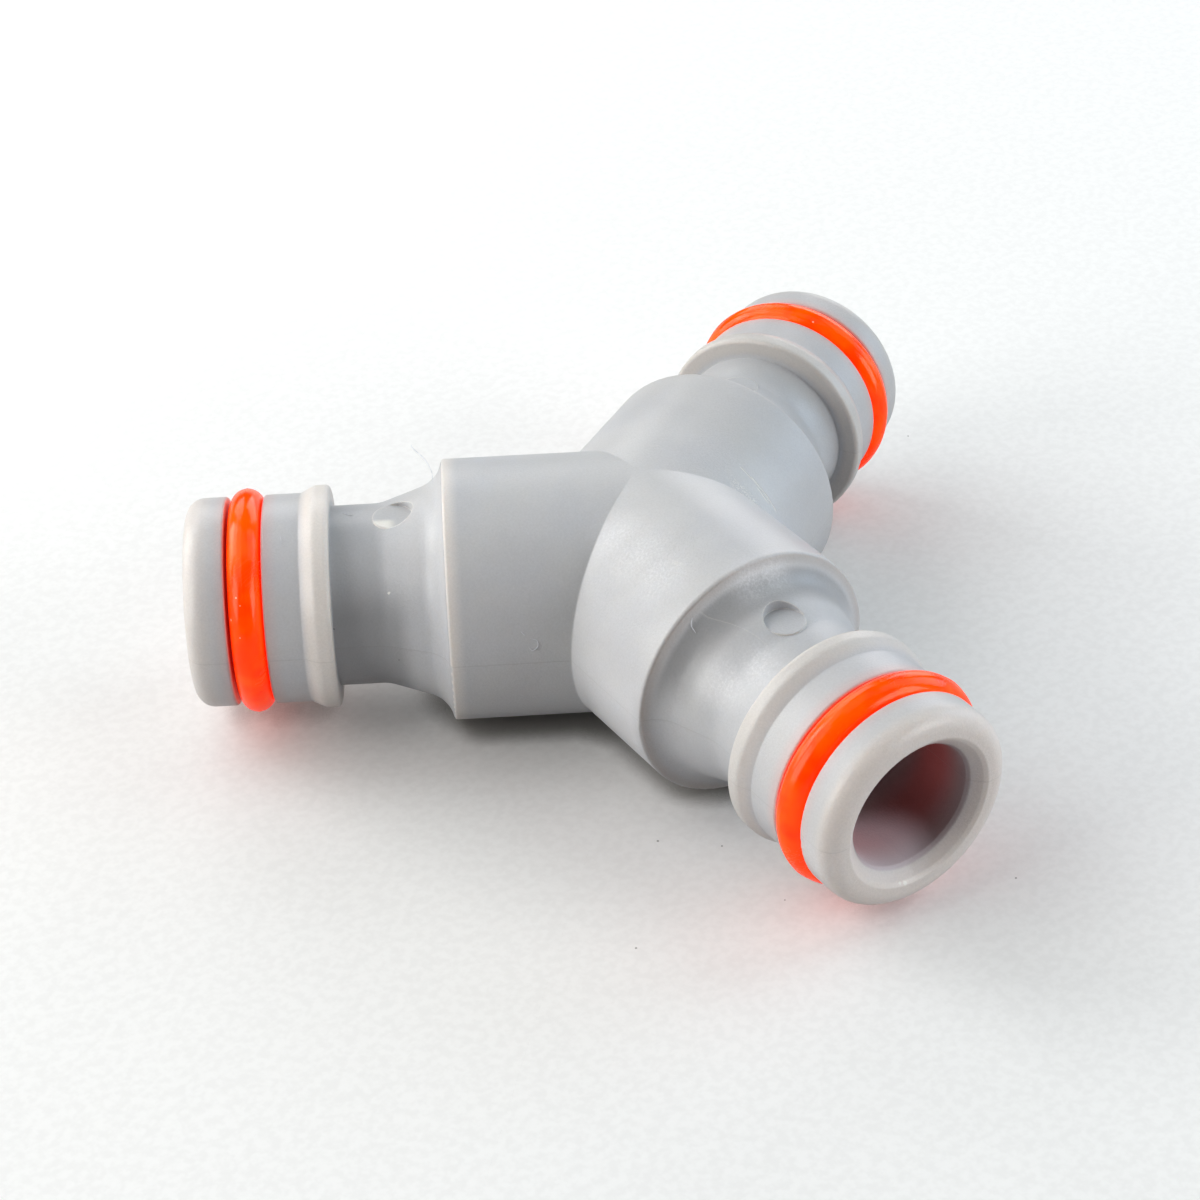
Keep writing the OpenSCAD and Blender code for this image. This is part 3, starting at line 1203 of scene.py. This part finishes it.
@dataclass
class Studio:
    """Floor, lights, surroundings and camera."""

    soft_boxes: tuple[SoftBox, ...] = (
        SoftBox("key_low", 125.0, 16.0, 0.81, (1.0, 1.0, 0.92)),
        SoftBox("key", 125.0, 34.0, 0.64, (0.94, 0.96, 1.0)),
        SoftBox("key_high", 125.0, 55.0, 0.3),
        SoftBox("left_low", 170.0, 18.0, 1.12, (1.0, 1.0, 0.97)),
        SoftBox("left_high", 170.0, 45.0, 0.42, (1.0, 0.95, 0.93)),
        SoftBox("front_right", 305.0, 18.0, 1.17),
        SoftBox("right_low", 350.0, 18.0, 0.66, (0.66, 0.82, 1.0)),
        SoftBox("right_high", 350.0, 50.0, 0.32, (0.82, 1.0, 0.97)),
        SoftBox("back_right", 35.0, 18.0, 0.57, (1.0, 0.97, 0.97)),
        SoftBox("back", 80.0, 30.0, 0.52),
        SoftBox("top", 0.0, 89.0, 0.13),
    )
    floor_height: float = -9.9 * MM
    floor_reach: float = 3.0
    flecks: tuple[Mark, ...] = (
        Mark((8.87, -34.3, -9.9), 0.1),
        Mark((-5.94, -26.77, -9.9), 0.08),
        Mark((39.34, 16.01, -9.9), 0.1),
        Mark((-9.68, -16.37, -9.9), 0.11),
        Mark((-6.2, -19.49, -9.9), 0.09),
        Mark((-17.33, -24.83, -9.9), 0.1),
    )
    fade_start: float = 0.2
    fade_end: float = 0.4
    camera_place: tuple[float, float, float] = (-94.4234, -142.6147, 121.0013)
    focal_share: float = 2752.888 / 1200.0

    def floor(self, effects: Effects) -> None:
        """Lays a plain pale floor with a painted contact shadow; it is clear from below and fades into white far
        away.

        Args:
            effects: The shared surface effects.
        """
        graph, shader, material = new_material("pale_floor")
        place = graph.add("TexCoord").outputs["Object"]
        cloud = graph.noise(place, 30.0, 3.0)
        tone = graph.mix(graph.math("MULTIPLY", cloud, 0.6), colour(250, 250, 249), colour(248, 247, 246))
        fine = graph.band(graph.noise(place, 1300.0, 2.0, 0.7), 0.35, 0.65)
        tone = graph.mix(graph.math("MULTIPLY", fine, 0.22), tone, colour(226, 225, 224))
        for fleck in self.flecks:
            mask = graph.group(effects.spot, Position=place, Place=fleck.place_m, Radius=fleck.radius * MM)
            tone = graph.mix(graph.math("MULTIPLY", mask.outputs[0], 0.75), tone, colour(120, 116, 112))
        seen = graph.add("LightPath").outputs["Is Camera Ray"]
        # Painted contact shadow: the floor darker where the part is close above it.
        contact_shadow = graph.add("AmbientOcclusion", samples=8)
        contact_shadow.inputs["Distance"].default_value = 3.0 * MM
        tone = graph.mix(graph.band(contact_shadow.outputs["AO"], 0.3, 0.64, flip=True), tone, colour(142, 139, 136))
        graph.feed(shader.inputs["Base Color"], graph.mix(seen, colour(190, 190, 190), tone))
        shader.inputs["Roughness"].default_value = 0.7
        shader.inputs["Specular IOR Level"].default_value = 0.2
        clear = graph.add("BsdfTransparent")
        blend = graph.add("MixShader")
        far = graph.band(graph.vector("LENGTH", place), self.fade_start, self.fade_end)
        below = graph.add("NewGeometry").outputs["Backfacing"]
        clear_part = graph.math("MAXIMUM", below, graph.math("MULTIPLY", far, seen))
        graph.feed(blend.inputs[0], clear_part)
        graph.feed(blend.inputs[1], shader.outputs[0])
        graph.feed(blend.inputs[2], clear.outputs[0])
        output = graph.tree.nodes["Material Output"]
        graph.feed(output.inputs["Surface"], blend.outputs[0])
        reach, level = self.floor_reach, self.floor_height
        corners = [Vector((x * reach, y * reach, level)) for x, y in ((-1, -1), (1, -1), (1, 1), (-1, 1))]
        floor = add_mesh("floor", corners, [(0, 1, 2, 3)], material)

    @staticmethod
    def lamp(box: SoftBox) -> None:
        """Hangs one soft box that faces the object.

        Args:
            box: Where it hangs, how strong it is and its colour.
        """
        data = bpy.data.lights.new(box.name, "AREA")
        data.shape = "SQUARE"
        data.size = box.size
        data.energy = box.power
        data.color = box.tint
        lamp = bpy.data.objects.new(box.name, data)
        turn, lift = math.radians(box.azimuth), math.radians(box.height)
        way = Vector((math.cos(turn) * math.cos(lift), math.sin(turn) * math.cos(lift), math.sin(lift)))
        lamp.location = way * box.far
        lamp.rotation_euler = (-way).to_track_quat("-Z", "Y").to_euler()
        bpy.context.scene.collection.objects.link(lamp)

    def lights(self) -> None:
        """Hangs the soft boxes around the object."""
        for box in self.soft_boxes:
            self.lamp(box)

    def surroundings(self) -> None:
        """Makes everything around the object an even pale grey that shows as white."""
        world = bpy.data.worlds.new("surroundings")
        bpy.context.scene.world = world
        world.use_nodes = True
        graph = Graph(world.node_tree)
        back = graph.tree.nodes["Background"]
        seen = graph.add("LightPath").outputs["Is Camera Ray"]
        back.inputs["Color"].default_value = (0.97, 0.985, 1.0, 1.0)
        graph.feed(back.inputs["Strength"], graph.math("MULTIPLY_ADD", seen, 0.99, 0.01))

    def camera(self) -> None:
        """Places the camera where the photograph was taken."""
        data = bpy.data.cameras.new("camera")
        data.sensor_width = 36.0
        data.lens = self.focal_share * data.sensor_width
        data.clip_start = 0.01
        camera = bpy.data.objects.new("camera", data)
        right = Vector((0.833934, -0.551342, -0.023988))
        up = Vector((0.338143, 0.476141, 0.811757))
        back = Vector((-0.436134, -0.685063, 0.583503))
        turned = Matrix((right, up, back)).transposed().to_4x4()
        camera.matrix_world = Matrix.Translation(Vector(self.camera_place) * MM) @ turned
        bpy.context.scene.collection.objects.link(camera)
        bpy.context.scene.camera = camera

    def build(self, effects: Effects) -> None:
        """Sets up the whole studio.

        Args:
            effects: The shared surface effects.
        """
        bpy.context.scene.view_settings.view_transform = "Standard"
        self.floor(effects)
        self.lights()
        self.surroundings()
        self.camera()
        LOG.info("studio: ready")


def main() -> None:
    """Builds and dresses every piece, then the studio."""
    logging.basicConfig(level=logging.INFO, format="%(message)s")
    effects = Effects()
    plastic = GreyPlastic().build(effects)
    rubber = OrangeRubber().build(effects)
    MouldedBody().dress(plastic)
    Lint().build(LintFinish().build())
    for branch in Branch:
        ORing(branch).build(rubber)
    Studio().build(effects)


if __name__ == "__main__":
    main()
